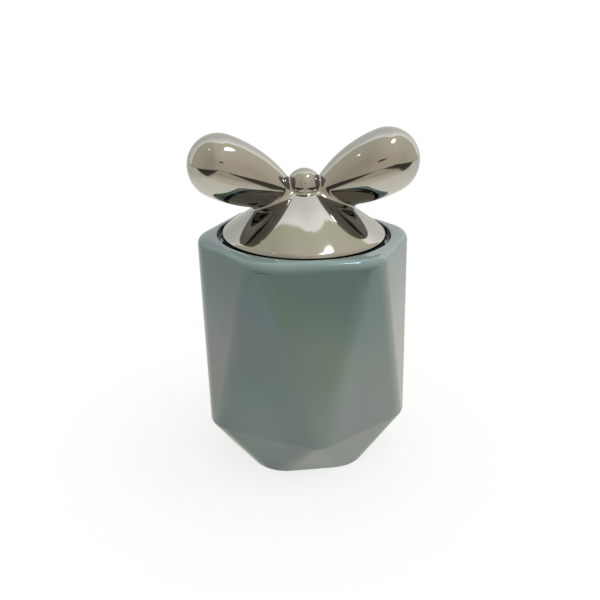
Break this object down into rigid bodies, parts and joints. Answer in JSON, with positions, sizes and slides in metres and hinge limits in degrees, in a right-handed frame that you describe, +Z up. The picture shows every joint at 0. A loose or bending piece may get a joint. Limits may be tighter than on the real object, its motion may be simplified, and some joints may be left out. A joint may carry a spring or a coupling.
{
  "type": "cotton pad holder",
  "caption": "Faceted glazed jar for cotton pads with an inset mirror-plated domed lid lifted by a bow.",
  "frame": {"origin": "centre of the foot, on the surface that the jar stands on", "axes": "+Z up along the jar's axis, X along the bow, -Y towards the front"},
  "size_m": [0.1042, 0.1052, 0.1543],
  "materials": {
    "glaze": "gloss",
    "plating": "polished"
  },
  "bodies": {
    "jar": {"jar_body": "glaze"},
    "lid": {"lid_dome": "plating", "bow_loop_left": "plating", "bow_loop_right": "plating", "bow_knot": "plating"}
  },
  "joints": [
    {"name": "lid_lift", "type": "slide", "parent": "jar", "child": "lid", "axis": [0, 0, 1], "range_m": [0, 0.06]}
  ]
}
